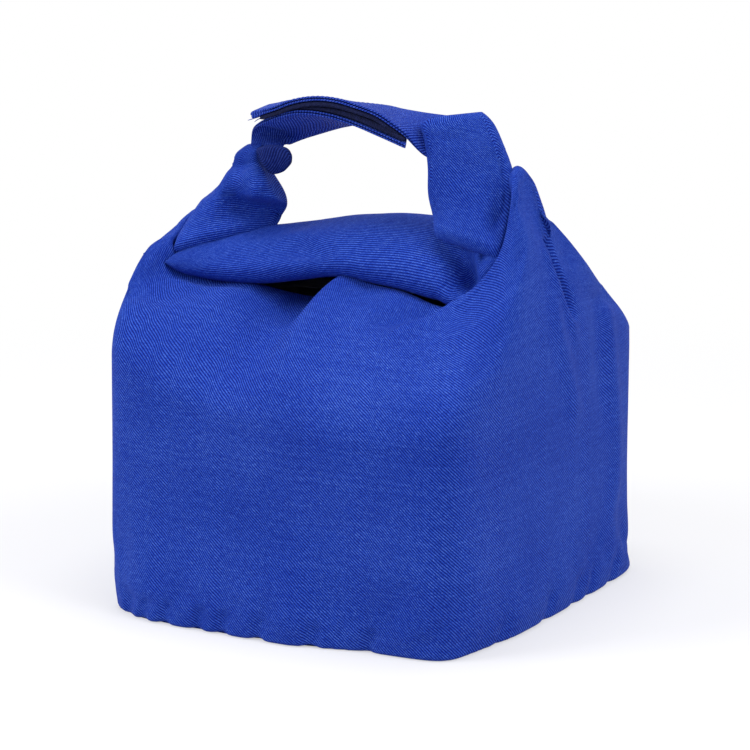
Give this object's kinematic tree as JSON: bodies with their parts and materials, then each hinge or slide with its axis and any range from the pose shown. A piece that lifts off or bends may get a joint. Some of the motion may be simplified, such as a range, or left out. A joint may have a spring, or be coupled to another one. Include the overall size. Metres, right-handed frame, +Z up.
{
  "type": "insulated roll-top lunch bag",
  "caption": "Soft box-shaped insulated bag whose mouth is rolled shut, with its ends turned up and lapped with hook-and-loop straps as a carrying handle.",
  "frame": {"origin": "middle of the base, on the surface that the bag stands on", "axes": "+Z up, -Y out of the front wall, +X to the right as seen from the front, along the roll"},
  "size_m": [0.2191, 0.2232, 0.2655],
  "materials": {
    "canvas": "plain-woven royal blue canvas",
    "strap": "folded canvas, edge-stitched",
    "foam": "white padding",
    "lining": "silver-grey coated lining",
    "tape": "dark navy hook-and-loop tape"
  },
  "bodies": {
    "bag": {"outer_front_panel": "canvas", "outer_back_panel": "canvas", "outer_base_panel": "canvas", "foam_front": "foam", "foam_back": "foam", "foam_base": "foam", "lining_front": "lining", "lining_back": "lining", "lining_base": "lining", "left_seam_binding": "canvas", "right_seam_binding": "canvas"},
    "handle": {"rolled_back_wall": "canvas", "rolled_front_wall": "canvas", "mouth_hem_binding": "tape", "right_ear_wrap": "canvas", "right_ear_core": "foam", "left_ear_wrap": "canvas", "left_ear_core": "foam", "left_corner_tab": "canvas"},
    "upper_strap": {"upper_strap_face": "strap", "upper_strap_backing": "strap", "hook_tape": "tape"},
    "lower_strap": {"lower_strap_face": "strap", "lower_strap_backing": "strap", "loop_tape": "tape"}
  },
  "joints": [
    {"name": "handle_lift", "type": "slide", "parent": "bag", "child": "handle", "axis": [0, 0, 1], "range_m": [0, 0.025]},
    {"name": "upper_strap_peel", "type": "hinge", "parent": "handle", "child": "upper_strap", "pos_m": [0.0657, -0.005, 0.26178], "axis": [0, 1, 0], "range_deg": [0, 110]},
    {"name": "lower_strap_lift", "type": "hinge", "parent": "handle", "child": "lower_strap", "pos_m": [-0.0727, -0.005, 0.24278], "axis": [0, 1, 0], "range_deg": [-44, 0]}
  ],
  "couplings": [
    {"joint": "lower_strap_lift", "follows": "upper_strap_peel", "ratio": -0.4}
  ]
}
